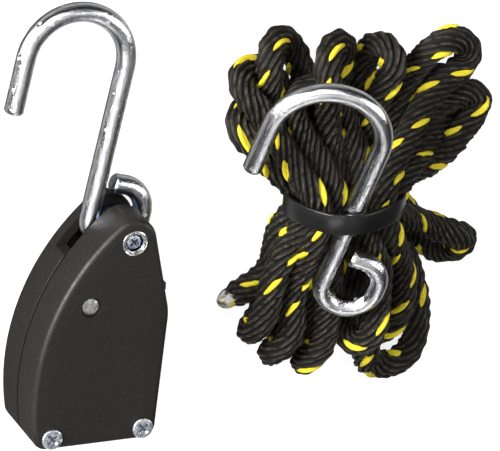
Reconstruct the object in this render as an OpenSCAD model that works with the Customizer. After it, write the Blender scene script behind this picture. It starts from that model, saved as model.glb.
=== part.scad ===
// Rope ratchet hanger: a one-way rope wheel in a two-part housing that hangs from a wire hook,
// with its rope folded into a tied hank that also holds the load hook.
// Everything lies on the surface z = 0. The origin is the wheel's axis on the housing's rear face.
// +X runs across the housing, +Y up its height towards the hook, +Z out of its front face.

/* [Housing] */
// Thickness of the housing, rear face to front face
housing_t = 21; // [20:0.5:22]
// Distance from the wheel's axis down to the bottom edge
axle_height = 16.2; // [16:0.1:17]
// Thickness of the walls
wall = 2.2; // [1.8:0.1:2.4]
// Radius of the long curved left edge
back_radius = 56; // [55:0.5:57]
// Radius of the rounded top, which is centred on the hook post
top_radius = 5.6; // [5.4:0.1:6]
// Radius of the two bottom corners
corner_radius = 3.2; // [2.8:0.1:3.6]

/* [Wheel] */
// Radius of the wheel over its ratchet teeth
wheel_radius = 12.6; // [12.2:0.1:12.8]
// Depth of a ratchet tooth
tooth_depth = 1.3; // [1:0.1:1.4]
// Number of ratchet teeth, a multiple of twelve so that the pawl meets a tooth squarely
tooth_count = 24; // [24:12:24]
// Radius at the bottom of the rope groove
groove_root_r = 5; // [4.8:0.1:5.4]
// Diameter of the wheel's axle
axle_d = 4; // [3.6:0.1:4.2]

/* [Pawl] */
// Diameter of the pawl's pivot pin
pawl_pin_d = 4.3; // [4:0.1:4.4]
// Depth of the pin's ends below the housing's faces
pin_sink = 0.7; // [0.4:0.1:0.9]
// Distance that the thumb tab stands out of the right edge
tab_reach = 2.4; // [1.5:0.1:3]

/* [Hooks] */
// Diameter of the hook wire
wire_d = 4.6; // [4.4:0.1:4.7]
// Radius of the top hook's arch, along the middle of the wire
top_arch_r = 12.3; // [12:0.1:12.6]
// Radius of the load hook's arch, along the middle of the wire
load_arch_r = 13.2; // [12.9:0.1:13.5]
// Radius of a hook's eye, along the middle of the wire
eye_r = 6.4; // [6.3:0.1:6.5]
// Length that the eye is taller than it is wide
eye_rise = 1.8; // [1:0.1:2]
// Distance from the top hook's eye centre up to its arch's centre
top_shank_l = 36.5; // [36:0.1:37.5]
// Distance from the load hook's eye centre up to its arch's centre
load_shank_l = 39.4; // [39:0.1:40]
// Straight length from the arch down to the hook's tip
tip_l = 13.4; // [12:0.1:14]
// Angle that the top hook's shank leans to the right of the housing's height
hook_lean = 11; // [9:1:12]

/* [Fasteners] */
// Diameter of the hook post
post_d = 6.2; // [6:0.1:6.3]
// Diameter of the lower screws' heads
screw_head_d = 5; // [4.6:0.1:5.2]
// Diameter of the screws' shanks
screw_d = 2.5; // [2.4:0.1:2.6]

/* [Hank] */
// Width of the hank where it is tied
waist_w = 27.4; // [27:0.1:28]
// Thickness of the hank where it is tied
waist_t = 23; // [22.5:0.1:23.2]
// Width of the tie band, along the hank
band_w = 5; // [4.5:0.1:5.2]
// Thickness of the tie band
band_t = 1.1; // [1:0.1:1.2]

/* [Hidden] */
$fn = 64;
// Small overlap that keeps cuts clean
eps = 0.1;
mid_z = housing_t / 2;
shell_black = [0.13, 0.12, 0.12];
zinc = [0.78, 0.8, 0.84];
steel = [0.6, 0.6, 0.62];

// Housing outline
post_xy = [7.4, 33.8];
back_turn = 130.5;
back_centre = post_xy - (back_radius - top_radius) * [cos(back_turn), sin(back_turn)];
knee_xy = [17, 15.3];
knee_r = 14;
bottom_right = [14.8, -axle_height];
screw_xy = [[-10.9, -13.3], [11.5, -13.3]];
screw_boss_r = 3;
hole_play = 0.1;
pin_relief = 0.35;

// Opening in the bottom edge for the two runs of rope
mouth_x = [-7.7, 8.3];
mouth_w = 8.4;

// Part of the rear shell's edge that is cut away so that the hook can swing
slot_z = 4.4;
slot_cut = [[-9, 27.8], [-1.5, 27.8], [2.5, 23.6], [18, 23.6], [18, 42], [-9, 42]];

// Hook post and the plane of the top hook
hook_z = 7.45;
eye_play = 0.1;
hook_shift = eye_r - wire_d / 2 - post_d / 2 - eye_play;
hook_centre = post_xy + hook_shift * [sin(hook_lean), cos(hook_lean)];
post_head_r = 4.2;
post_head_z = [0.3, 1.5];
post_bore_l = 14;
post_screw_head_r = 2;
post_screw_sink = 0.3;
post_screw_head_t = 1.1;

// Wheel
running_gap = 0.05;
washer_t = 0.5;
washer_r = 5.2;
wheel_z0 = wall + washer_t + 0.1;
bushing_r = 3.2;
groove_w = 10;
groove_root_w = 4.4;
axle_pocket = 1;
tooth_pitch = 360 / tooth_count;

// Pawl
pawl_xy = [-2.55, 18.8];
prong_root = 0.4;
prong_back = 1.6;
tab_root_x = 8;
tab_bevel = 0.8;
pawl_hub_r = 4;
pawl_z0 = wall + 0.8;
prong_t = 3.2;
engaged_angle = 120;
// The prong's tip stands off from the tooth's steep side, so that it clears the tooth as it lifts
tip_gap_angle = 4;
tip_lift = 0.5;
coil_room = 2.9;
tab_z = [6.8, 13.6];
tab_y = [17.1, 20.3];
tab_slot_y = [11.8, 21.4];

// Torsion spring on the pawl's pin
spring_wire_d = 0.6;
coil_r = 2.9;
coil_turns = 3;
coil_steps = 20;

// Lower screws and nuts
screw_head_t = 0.7;
nut_z = [0.3, 2.3];
nut_flat = 5;
nut_r = nut_flat / 2 / cos(30);

// Hank
waist_centre = [62, 36, 15];
waist_l = 7.5;
load_eye = [61.8, 16.7, 20.9];
load_turn = [20, -15, -15];
upper_low_y = waist_centre[1] + waist_l / 2;
lower_top_y = waist_centre[1] - waist_l / 2;
upper_loops = [[44, 75], [37, 69], [38.5, 59], [60, 74], [71, 74], [86, 70], [92.5, 60]];
upper_outline = [[50, 39.75], [34, 53], [31, 68], [44, 82], [60, 81.5], [72, 81], [89, 77], [100, 62], [76, 39.75]];
upper_core = [[52, 41], [45, 56], [47, 71], [82, 71], [86, 60], [73, 41]];
lower_loops = [[44, 14], [46, 4], [52, -3], [61, -5], [80, -6]];
lower_outline = [[52, 32.25], [39, 19], [40, 5], [50, -9], [80, -12.5], [87, -3], [74, 32.25]];
side_loop = [[78, 26], [93, 18]];
loop_end_r = 7.5;
upper_t = 17.5;
core_t = 23.5;
lower_t = 15.4;
side_t = 11;
cap_r = 3.1;
cap_l = 5;
end_cap_tip = [35.6, 8.1, 6.1];
end_cap_turn = 39;
tail_cap_tip = [91.2, 42.1, 3.6];
tail_cap_turn = 150;

// Helpers: arcs, directions and rounded corners of an outline
function heading(v) = atan2(v[1], v[0]);
function polar(r, a) = r * [cos(a), sin(a)];
function arc(c, r, a0, a1, n) = [for (i = [0 : n]) c + polar(r, a0 + (a1 - a0) * i / n)];
function unit(v) = v / norm(v);
// Rounds the corner p1 between p0 and p2, where the outline turns left
function corner(p0, p1, p2, r, n) = let (
    a = unit(p1 - p0),
    turn = acos(a * unit(p2 - p1)),
    start = p1 - a * r * tan(turn / 2),
    c = start + r * [-a[1], a[0]],
    a0 = heading(start - c)
) arc(c, r, a0, a0 + turn, n);

// The housing's outline, moved inwards by d, counter-clockwise from the bottom left corner
function outline(d) = let (
    low_y = d - axle_height,
    r = corner_radius - d / 2,
    corner_y = low_y + r,
    back_r = back_radius - d,
    corner_dx = sqrt(pow(back_r - r, 2) - pow(corner_y - back_centre[1], 2)),
    corner_c = [back_centre[0] - corner_dx, corner_y],
    low_right = bottom_right + [-d, d],
    knee = knee_xy + [-d, 0],
    to_knee = knee - post_xy,
    top_r = top_radius - d,
    top_a = heading(to_knee) + acos(top_r / norm(to_knee)),
    corner_a = heading(corner_c - back_centre) + 360
) concat(
    arc(corner_c, r, corner_a, 270, 8),
    corner([0, low_y], low_right, knee, r, 8),
    corner(low_right, knee, post_xy + polar(top_r, top_a), knee_r, 6),
    arc(post_xy, top_r, top_a, back_turn, 16),
    [for (i = [1 : 29]) back_centre + polar(back_r, back_turn + (corner_a - back_turn) * i / 30)]
);

module at_screws() {
    for (p = screw_xy) translate(p) children();
}

// A prism between two heights
module slab(z0, z1) {
    translate([0, 0, z0]) linear_extrude(z1 - z0) children();
}

module disc(c, r, z0, z1) {
    translate([c[0], c[1], z0]) cylinder(r = r, h = z1 - z0);
}

// The space inside both shells, with the solid blocks round the fasteners left standing
module cavity() {
    difference() {
        slab(wall, housing_t - wall) polygon(outline(wall));
        at_screws() cylinder(r = screw_boss_r, h = housing_t);
        disc(post_xy, top_radius - 0.3, 0, housing_t);
    }
}

// Everything that is drilled or cut through both shells
module shell_cuts() {
    disc([0, 0], axle_d / 2, wall - axle_pocket, housing_t - wall + axle_pocket);
    disc(pawl_xy, pawl_pin_d / 2, -eps, housing_t + eps);
    disc(pawl_xy, pawl_pin_d / 2 + pin_relief, -eps, pin_sink);
    disc(pawl_xy, pawl_pin_d / 2 + pin_relief, housing_t - pin_sink, housing_t + eps);
    disc(post_xy, post_d / 2, -eps, housing_t + eps);
    disc(post_xy, post_head_r, -eps, post_head_z[1]);
    at_screws() translate([0, 0, -eps]) cylinder(r = screw_d / 2 + hole_play, h = housing_t + 1);
    at_screws() translate([0, 0, -eps]) cylinder(r = nut_r + 0.05, h = nut_z[1] + eps, $fn = 6);
    translate([mouth_x[0], -axle_height - 1, mid_z - mouth_w / 2])
        cube([mouth_x[1] - mouth_x[0], wall + 1.5, mouth_w]);
    translate([knee_xy[0] - 5, tab_slot_y[0], tab_z[0] - 0.5])
        cube([8, tab_slot_y[1] - tab_slot_y[0], tab_z[1] - tab_z[0] + 1]);
}

module rear_shell() {
    color(shell_black) difference() {
        slab(0, mid_z) polygon(outline(0));
        cavity();
        shell_cuts();
        slab(slot_z, housing_t) polygon(slot_cut);
    }
}

module front_shell() {
    color(shell_black) difference() {
        slab(mid_z, housing_t) polygon(outline(0));
        cavity();
        shell_cuts();
    }
}

// Saw-tooth rim: each tooth's steep side is radial and faces clockwise
module ratchet_outline() {
    polygon([for (i = [0 : tooth_count - 1]) let (a = i * tooth_pitch)
        each [polar(wheel_radius, a), polar(wheel_radius - tooth_depth, a + tooth_pitch)]]);
}

module wheel_half() {
    difference() {
        slab(wheel_z0, mid_z) ratchet_outline();
        rotate_extrude() polygon([
            [groove_root_r, mid_z + eps],
            [groove_root_r, mid_z - groove_root_w / 2],
            [wheel_radius + eps, mid_z - groove_w / 2],
            [wheel_radius + eps, mid_z + eps]
        ]);
        disc([0, 0], bushing_r, 0, housing_t);
    }
}

module rear_wheel_half() {
    color([0.16, 0.16, 0.17]) wheel_half();
}

// The front half has the same teeth, so it is the rear half reflected in the middle plane
module front_wheel_half() {
    color([0.16, 0.16, 0.17]) translate([0, 0, housing_t]) mirror([0, 0, 1]) wheel_half();
}

module wheel_bushing() {
    color("darkgoldenrod") difference() {
        disc([0, 0], bushing_r, wheel_z0, housing_t - wheel_z0);
        disc([0, 0], axle_d / 2 + running_gap, 0, housing_t);
    }
}

module wheel_axle() {
    color(steel) disc([0, 0], axle_d / 2, wall - axle_pocket, housing_t - wall + axle_pocket);
}

module thrust_washer(z0) {
    color(zinc) difference() {
        disc([0, 0], washer_r, z0, z0 + washer_t);
        disc([0, 0], axle_d / 2 + running_gap, 0, housing_t);
    }
}

module rear_thrust_washer() {
    thrust_washer(wall);
}

module front_thrust_washer() {
    thrust_washer(housing_t - wall - washer_t);
}

// Side view of a prong: its tip rests in the valley in front of the tooth at engaged_angle
module prong_outline() {
    heel = [2.6, -2.9];
    back = [-3.9, -0.8];
    polygon([
        polar(wheel_radius - tooth_depth + tip_lift, engaged_angle - tip_gap_angle),
        polar(wheel_radius + prong_root, engaged_angle - tooth_pitch),
        pawl_xy + heel,
        pawl_xy + back,
        polar(wheel_radius + prong_back, engaged_angle)
    ]);
}

// Two prongs, one for each toothed rim, on a hub with a thumb tab
module pawl() {
    tab_end = knee_xy[0] - 0.7 + tab_reach;
    color([0.2, 0.2, 0.21]) difference() {
        union() {
            disc(pawl_xy, pawl_hub_r, pawl_z0 + coil_room, housing_t - pawl_z0);
            slab(pawl_z0 + coil_room, housing_t - pawl_z0) prong_outline();
            slab(pawl_z0, pawl_z0 + prong_t) difference() {
                prong_outline();
                translate(pawl_xy) circle(r = pawl_hub_r + 0.2);
            }
            slab(tab_z[0], tab_z[1]) polygon([
                pawl_xy + [0, -3],
                [tab_root_x, tab_y[0]],
                [tab_end - tab_bevel, tab_y[0]],
                [tab_end, tab_y[0] + tab_bevel],
                [tab_end, tab_y[1] - tab_bevel],
                [tab_end - tab_bevel, tab_y[1]],
                [tab_root_x, tab_y[1]],
                pawl_xy + [0, 3]
            ]);
        }
        disc(pawl_xy, pawl_pin_d / 2 + running_gap, 0, housing_t);
        disc([0, 0], wheel_radius + 0.3, pawl_z0 + prong_t, housing_t - pawl_z0 - prong_t);
    }
}

module pawl_pin() {
    color(steel) disc(pawl_xy, pawl_pin_d / 2, pin_sink, housing_t - pin_sink);
}

// Middle line of the spring: one leg towards the prong, the coil, one leg towards the wall
spring_z0 = wall + spring_wire_d / 2 + 0.1;
coil_rise = spring_wire_d + 0.1;
coil_n = coil_turns * coil_steps;
spring_path = concat(
    [[-6.6, 14.2, spring_z0], [-6, 16, spring_z0]],
    [for (i = [0 : coil_n]) let (p = pawl_xy + polar(coil_r, 190 + 360 * i / coil_steps))
        [p[0], p[1], spring_z0 + coil_rise * i / coil_steps]],
    [[-5.2, 16.4, spring_z0 + coil_rise * coil_turns], [-4.9, 22.9, spring_z0 + coil_rise * coil_turns]]
);

// Tube swept along a list of points that never runs parallel to Z
module tube(path, d, sides) {
    last = len(path) - 1;
    rings = [for (i = [0 : last])
        let (t = unit(path[min(i + 1, last)] - path[max(i - 1, 0)]), u = unit(cross(t, [0, 0, 1])), v = cross(u, t))
        each [for (k = [0 : sides - 1]) path[i] + d / 2 * (cos(360 * k / sides) * u + sin(360 * k / sides) * v)]];
    side_faces = [for (i = [0 : last - 1], k = [0 : sides - 1])
        let (a = i * sides + k, b = i * sides + (k + 1) % sides) [a, a + sides, b + sides, b]];
    polyhedron(rings, concat(
        side_faces,
        [[for (k = [0 : sides - 1]) k]],
        [[for (k = [sides - 1 : -1 : 0]) last * sides + k]]
    ));
}

module pawl_spring() {
    color("lightsteelblue") tube(spring_path, spring_wire_d, 8);
}

// Steel barrel through the top of the housing, with a low head sunk in the rear face
module hook_post() {
    color(zinc) difference() {
        union() {
            disc(post_xy, post_d / 2, post_head_z[0], housing_t);
            disc(post_xy, post_head_r, post_head_z[0], post_head_z[1]);
        }
        disc(post_xy, screw_d / 2, housing_t - post_bore_l, housing_t);
        disc(post_xy, post_screw_head_r + hole_play, housing_t - post_screw_sink - post_screw_head_t, housing_t + eps);
    }
}

// Screw with a low head and a cross recess, its head's underside at z = 0
module cross_screw(head_r, head_t, length) {
    difference() {
        union() {
            cylinder(r = head_r, h = head_t);
            translate([0, 0, -length]) cylinder(r = screw_d / 2, h = length);
        }
        for (a = [45, 135])
            rotate(a) translate([-head_r * 0.62, -head_r * 0.13, head_t * 0.35])
                cube([head_r * 1.24, head_r * 0.26, head_t]);
    }
}

module post_screw() {
    color(zinc) translate([post_xy[0], post_xy[1], housing_t - post_screw_sink - post_screw_head_t])
        cross_screw(post_screw_head_r, post_screw_head_t, 9);
}

module lower_screws() {
    color(zinc) at_screws() translate([0, 0, housing_t])
        cross_screw(screw_head_d / 2, screw_head_t, housing_t - nut_z[0] - 0.2);
}

module lower_nuts() {
    color(zinc) at_screws() translate([0, 0, nut_z[0]]) difference() {
        cylinder(r = nut_r, h = nut_z[1] - nut_z[0], $fn = 6);
        translate([0, 0, -eps]) cylinder(r = screw_d / 2, h = nut_z[1]);
    }
}

// Length of wire bent to part of a circle
module bent_wire(r, angle) {
    rotate_extrude(angle = angle) translate([r, 0]) circle(d = wire_d);
}

module straight_wire(p, length) {
    translate([p[0], p[1], 0]) rotate([-90, 0, 0]) cylinder(d = wire_d, h = length);
}

// Hook of one bent wire in its own plane: the eye's centre at the origin, the shank up its left side,
// the arch over to the left, and the eye closed up to its short straight end beside the shank
module wire_hook(arch_r, shank_l) {
    eye_end_l = 2.6;
    straight_wire([-eye_r - 2 * arch_r, shank_l - tip_l], tip_l);
    translate([-eye_r - arch_r, shank_l, 0]) bent_wire(arch_r, 180);
    straight_wire([-eye_r, 0], shank_l);
    rotate(180) bent_wire(eye_r, 180);
    straight_wire([eye_r, 0], eye_rise);
    translate([0, eye_rise, 0]) {
        bent_wire(eye_r, 90);
        rotate(90) straight_wire([eye_r, 0], eye_end_l);
    }
}

module top_hook() {
    color(zinc) translate([hook_centre[0], hook_centre[1], hook_z]) rotate(-hook_lean)
        wire_hook(top_arch_r, top_shank_l);
}

module load_hook() {
    color(zinc) translate(load_eye) rotate(load_turn) wire_hook(load_arch_r, load_shank_l);
}

// Moves a shape drawn across the hank to the waist, with its length along Y
module at_waist(length) {
    translate(waist_centre + [0, length / 2, 0]) rotate([90, 0, 0]) linear_extrude(length) children();
}

// Room for the load hook's shank where it lies on the hank, under the tie band
module shank_room(extra) {
    translate(load_eye) rotate(load_turn)
        translate([-eye_r, 0, 0]) rotate([-90, 0, 0]) cylinder(d = wire_d + extra, h = load_shank_l);
}

// Strip from p to q with round ends
module round_ended(p, q, r) {
    a = heading(q - p);
    polygon(concat(arc(q, r, a - 90, a + 90, 12), arc(p, r, a + 90, a + 270, 12)));
}

module rope_hank() {
    color([0.12, 0.11, 0.1]) difference() {
        union() {
            slab(0, upper_t) {
                polygon(upper_outline);
                for (p = upper_loops) translate(p) circle(r = loop_end_r);
            }
            slab(0, core_t) polygon(upper_core);
            slab(0, lower_t) {
                polygon(lower_outline);
                for (p = lower_loops) translate(p) circle(r = loop_end_r);
            }
            slab(0, side_t) round_ended(side_loop[0], side_loop[1], loop_end_r);
            at_waist(waist_l + 4) waist_polygon(0);
        }
        shank_room(0.4);
    }
}

// The waist's ellipse as points, so that it can be cut and wrapped
module waist_polygon(d) {
    polygon([for (i = [0 : 47]) [(waist_w / 2 + d) * cos(i * 7.5), (waist_t / 2 + d) * sin(i * 7.5)]]);
}

// Inside line of the tie band: round the rope and in a wide bow over the load hook's shank
module band_inside(d) {
    bow_centre = [-2.6, 4.7];
    bow_r = 9;
    hull() {
        waist_polygon(d);
        translate(bow_centre) circle(r = bow_r + d);
    }
}

// Flat plastic tie: a closed band with its locking head low on the right and a short cut tail
module tie_band() {
    play = 0.15;
    head = [4.8, 4.4];
    head_length = band_w + 1.6;
    head_angle = -40;
    head_turn = -46;
    head_at = [waist_w / 2 * cos(head_angle), waist_t / 2 * sin(head_angle)];
    color([0.05, 0.05, 0.05]) {
        at_waist(band_w) difference() {
            band_inside(play + band_t);
            band_inside(play);
        }
        at_waist(head_length) difference() {
            translate(head_at) rotate(head_turn) translate([play + band_t / 2, -head[1] / 2]) square(head);
            band_inside(play + band_t / 2);
        }
    }
}

// Melted end of the rope that lies level, its outer end at p and its axis turned by angle
module melted_end(p, angle) {
    color([0.8, 0.8, 0.78]) translate(p) rotate([0, 90, angle]) cylinder(r = cap_r, h = cap_l);
}

module rope_end_cap() {
    melted_end(end_cap_tip, end_cap_turn);
}

module rope_tail_cap() {
    melted_end(tail_cap_tip, tail_cap_turn);
}

front_shell();
rear_shell();
rear_wheel_half();
front_wheel_half();
wheel_bushing();
wheel_axle();
rear_thrust_washer();
front_thrust_washer();
pawl();
pawl_pin();
pawl_spring();
hook_post();
post_screw();
lower_screws();
lower_nuts();
top_hook();
load_hook();
rope_hank();
rope_end_cap();
rope_tail_cap();
tie_band();
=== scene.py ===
"""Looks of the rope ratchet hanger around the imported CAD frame: the tied hank, the hooks and the housing.

Lengths are in millimetres until a mesh is made, and MM turns them into Blender's metres.
The origin is the wheel's axis on the housing's rear face: +X across the housing, +Y towards the hook, +Z up.
"""

import math

import bmesh
import bpy
import numpy as np
from mathutils import Matrix, Vector


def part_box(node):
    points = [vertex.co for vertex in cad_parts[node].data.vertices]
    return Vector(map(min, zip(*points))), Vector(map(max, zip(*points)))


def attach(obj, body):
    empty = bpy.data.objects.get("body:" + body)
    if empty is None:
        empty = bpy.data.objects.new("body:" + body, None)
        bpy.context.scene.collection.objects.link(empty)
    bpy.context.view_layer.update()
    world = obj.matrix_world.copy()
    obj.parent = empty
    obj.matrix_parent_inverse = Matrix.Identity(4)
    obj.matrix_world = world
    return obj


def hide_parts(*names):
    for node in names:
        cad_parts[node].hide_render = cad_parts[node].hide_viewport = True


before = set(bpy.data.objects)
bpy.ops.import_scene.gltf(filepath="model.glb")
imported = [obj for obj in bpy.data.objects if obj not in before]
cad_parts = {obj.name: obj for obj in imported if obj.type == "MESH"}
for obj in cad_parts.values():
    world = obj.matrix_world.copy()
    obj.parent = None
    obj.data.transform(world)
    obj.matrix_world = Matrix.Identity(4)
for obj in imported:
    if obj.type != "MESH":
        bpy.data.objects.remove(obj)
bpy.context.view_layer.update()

MM = 0.001
HOUSING_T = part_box("front_shell")[1].z / MM
MID_Z = HOUSING_T / 2

# Camera
VIEW_AZIMUTH = 133.5
VIEW_ELEVATION = 57.1
VIEW_ROLL = 135.0
VIEW_TARGET = (40.6, 29.9, 10.0)
VIEW_DISTANCE = 1200.0
VIEW_WIDTH = 116.3
SENSOR = 36.0

# Rope
ROPE_D = 6.35
ROPE_R = ROPE_D / 2
ROUTE_STEP = 2.0
FLOOR_GAP = 3.6
RIDGES = 11
COLUMNS_PER_RIDGE = 6
RINGS_PER_STITCH = 10
STITCH_L = 5.6
RING_STEP = STITCH_L / RINGS_PER_STITCH
TRACER_STEP = 5.3
TRACER_TURN = 5
CREST_R = 3.35
GROOVE_DEPTH = 1.15
STITCH_DIP = 0.4
TRACER_BULGE = 0.3
SLOWEST_TURN = 52.0
FASTEST_TURN = 23.0
TAPER_L = 1.8
TAPER_SHARE = 0.45
# Solver: distances as shares of the rope's thickness, and how far the runs move in a round
TIED_SPACING = 0.80
FREE_SPACING = 0.16
WIRE_PRESS = 0.93
RELAXED_BEND_R = 5.0
DROP = 0.035
SMOOTHING = 0.22
END_HOLD = 0.3

# Tied waist of the hank, and where each run of rope passes through it: x and z from its middle
WAIST = np.array([62.0, 36.0, 15.0])
WAIST_W = 27.4
WAIST_T = 23.0
BAND_W = 5.0
BAND_T = 1.1
BAND_HALF = 3.4
BAND_GAP = 0.15
BAND_ROUND = 0.32
BAND_DISH = 0.10
BAND_BOW = (-2.6, 4.7)
BAND_BOW_R = 9.0
HEAD_AT = -40
HEAD_TURN = -46
HEAD_REACH = 2.7
HEAD_SIZE = (4.2, 6.4, 4.2)
HEAD_BEVEL = 0.45
SLOTS = {
    "A1": (-7.8, 4.6), "A2": (-2.4, 4.8), "A3": (3.0, 6.2), "A4": (7.4, 5.0), "A5": (10.2, 3.4),
    "B1": (-10.6, 0.2), "B2": (-5.2, 0.2), "B3": (0.2, 0.6), "B4": (5.4, 0.6), "B5": (10.6, 0.0),
    "C1": (-8.4, -4.4), "C2": (-3.4, -4.2), "C3": (1.6, -3.8), "C4": (5.6, -4.0), "C5": (9.4, -4.6),
    "D1": (-5.0, -8.0), "D2": (-0.6, -8.4), "D3": (3.6, -8.2), "D4": (7.6, -7.2),
}
# The hank's loops in the rope's order: middle of the bend, heading, width, roll, slots in and out
LOOPS = [
    ((42.8, 56.3, 9.0), 162, 11.5, 50, "B1", "C1"),
    ((46.6, 3.4, 9.0), -134, 11.5, -65, "C1", "B2"),
    ((46.6, 71.2, 7.5), 108, 13.4, 44, "B2", "D1"),
    ((54.0, -4.6, 9.0), -158, 11.5, -60, "D1", "A1"),
    ((39.6, 65.4, 11.0), 152, 11.5, 50, "A1", "C2"),
    ((62.5, -7.0, 8.0), -152, 11.5, -60, "C2", "A2"),
    ((52.8, 58.8, 14.0), 104, 14.0, 10, "A2", "A3"),
    ((71.0, 2.0, 10.5), -95, 11.5, 60, "A3", "C3"),
    ((60.0, 69.2, 9.5), 96, 13.0, 42, "C3", "B3"),
    ((69.5, 3.0, 4.5), -90, 12.0, 25, "B3", "D2"),
    ((72.4, 68.8, 9.0), 84, 11.2, -66, "D2", "C4"),
    ((81.6, -8.0, 5.0), -74, 17.0, 0, "C4", "B5"),
    ((96.2, 55.2, 5.2), 43, 7.8, -10, "B5", "C5"),
    ((91.8, 17.2, 7.4), 2, 14.0, 46, "C5", "A5"),
    ((92.4, 58.4, 4.2), 48, 8.0, 0, "A5", "D4"),
    ((73.5, -1.5, 4.5), -88, 11.0, 30, "D4", "B4"),
    ((90.4, 67.4, 12.0), 58, 13.8, 14, "B4", "A4"),
    ((76.5, 4.6, 10.0), -88, 11.5, 60, "A4", "D3"),
]
FREE_END = [(38.4, 10.4, 6.4), (44.5, 12.8, 6.4), (49.6, 17.8, 7.4)]
TAIL_END = [(71.0, 46.5, 5.5), (77.5, 49.5, 3.6), (83.0, 47.3, 3.5), (87.0, 44.6, 3.6)]

# Wire hooks, in the hook's own plane: eye at the origin, shank up its left side
WIRE_R = 2.3
ARCH_R = {"top_hook": 12.3, "load_hook": 13.2}
SHANK_L = {"top_hook": 36.5, "load_hook": 39.4}
EYE_R = 6.4
EYE_RISE = 1.8
TIP_L = 13.4
EYE_END_L = 2.6
LOAD_EYE = (61.8, 16.7, 20.9)
LOAD_TURN = (20, -15, -15)
POST = (7.4, 33.8)
HOOK_LEAN = 11
HOOK_SHIFT = 0.9
HOOK_Z = 7.45

# Housing
AXLE_HEIGHT = 16.2
WALL = 2.2
BACK_R = 56.0
TOP_R = 5.6
CORNER_R = 3.2
BACK_TURN = 130.5
KNEE = (17.0, 15.3)
KNEE_R = 14.0
BOTTOM_RIGHT = (14.8, -16.2)
SCREWS = [(-10.9, -13.3), (11.5, -13.3)]
PAWL = (-2.55, 18.8)
EDGE_ROUND = 1.3
SEAM = 0.38
SEAM_DEPTH = 1.0
SCREW_BOSS_R = 3.0
SCREW_HOLE_R = 1.35
SCREW_R = 1.25
SCREW_HEAD_R = 2.5
NUT_R = 2.95
NUT_T = 2.4
AXLE_R = 2.0
PIN_R = 2.15
PIN_SEAT_R = 2.5
PIN_SUNK = 0.7
POST_R = 3.1
POST_HEAD_R = 4.2
POST_HEAD_T = 1.5
MOUTH_X = (-7.7, 8.3)
MOUTH_HALF = 4.2
TAB_WINDOW = (12.0, 20.0, 11.8, 21.4, 6.3, 14.1)
HOOK_SLOT = [(-9, 27.8), (-1.5, 27.8), (2.5, 23.6), (18, 23.6), (18, 42), (-9, 42)]
HOOK_SLOT_Z = 4.4

# Brightness of the drawn streaks in the metal, as shares of its red, green and blue
DRAWN_SHARE = (0.56, 0.57, 0.63)

# Brightness of the surroundings from straight below (0) through level (0.5) to straight above (1)
WORLD_STOPS = [
    (0.0, 0.02), (0.09, 0.03), (0.15, 0.72), (0.36, 0.66), (0.43, 0.02),
    (0.6, 0.03), (0.78, 0.05), (0.92, 0.22), (1.0, 0.3),
]


# ---------------------------------------------------------------- camera

def camera():
    az, el, roll = (math.radians(a) for a in (VIEW_AZIMUTH, VIEW_ELEVATION, VIEW_ROLL))
    back = Vector((math.cos(el) * math.cos(az), math.cos(el) * math.sin(az), math.sin(el)))
    level = Vector((-math.sin(az), math.cos(az), 0))
    above = back.cross(level)
    right = level * math.cos(roll) + above * math.sin(roll)
    up = back.cross(right)
    data = bpy.data.cameras.new("camera")
    data.sensor_width = SENSOR
    data.lens = SENSOR * VIEW_DISTANCE / VIEW_WIDTH
    data.clip_start = 0.01
    data.clip_end = 20
    obj = bpy.data.objects.new("camera", data)
    turn = Matrix((right, up, back)).transposed().to_4x4()
    obj.matrix_world = Matrix.Translation((Vector(VIEW_TARGET) + back * VIEW_DISTANCE) * MM) @ turn
    bpy.context.collection.objects.link(obj)
    bpy.context.scene.camera = obj


# ---------------------------------------------------------------- curves and meshes

def spaced(points, step):
    """Points step apart along a line, how far along it they are, and the distances of the old ones."""
    along = np.concatenate([[0], np.cumsum(np.linalg.norm(np.diff(points, axis=0), axis=1))])
    at = np.linspace(0, along[-1], int(round(along[-1] / step)) + 1)
    return np.stack([np.interp(at, along, points[:, k]) for k in range(3)], 1), at, along


def cubic(p, q, a, b, count):
    """Smooth line from p to q that leaves along a and arrives along b."""
    t = np.linspace(0, 1, count)[:, None]
    return (2*t**3 - 3*t**2 + 1)*p + (t**3 - 2*t**2 + t)*a + (3*t**2 - 2*t**3)*q + (t**3 - t**2)*b


def smooth_line(points, step):
    """The line through the points as a smooth curve with points step apart."""
    p = np.concatenate([2*points[:1] - points[1:2], points, 2*points[-1:] - points[-2:-1]])
    t = np.linspace(0, 1, 6)[:-1, None]
    parts = []
    for i in range(1, len(p) - 2):
        a, b, c, d = p[i - 1], p[i], p[i + 1], p[i + 2]
        parts.append(0.5*(2*b + (c - a)*t + (2*a - 5*b + 4*c - d)*t**2 + (3*b - a - 3*c + d)*t**3))
    return spaced(np.concatenate(parts + [points[-1:]]), step)[:2]


def frames(line):
    """Unit tangents and two side directions that turn as little as possible along the line."""
    t = np.gradient(line, axis=0)
    t /= np.linalg.norm(t, axis=1)[:, None]
    side = np.zeros_like(line)
    start = np.cross(t[0], (0.0, 0.0, 1.0))
    side[0] = start / np.linalg.norm(start)
    for i in range(1, len(line)):
        v = side[i - 1] - t[i] * np.dot(side[i - 1], t[i])
        side[i] = v / np.linalg.norm(v)
    return t, side, np.cross(t, side)


def tube_rings(line, radius, angle):
    """Rings of points round a line. radius and angle are arrays of one row per ring."""
    _, side, other = frames(line)
    around = np.cos(angle)[:, :, None] * side[:, None] + np.sin(angle)[:, :, None] * other[:, None]
    return line[:, None] + radius[:, :, None] * around


def ring_faces(count, sides):
    i = np.repeat(np.arange(count - 1), sides)
    j = np.tile(np.arange(sides), count - 1)
    k = (j + 1) % sides
    return np.stack([i*sides + j, i*sides + k, (i + 1)*sides + k, (i + 1)*sides + j], 1)


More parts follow.
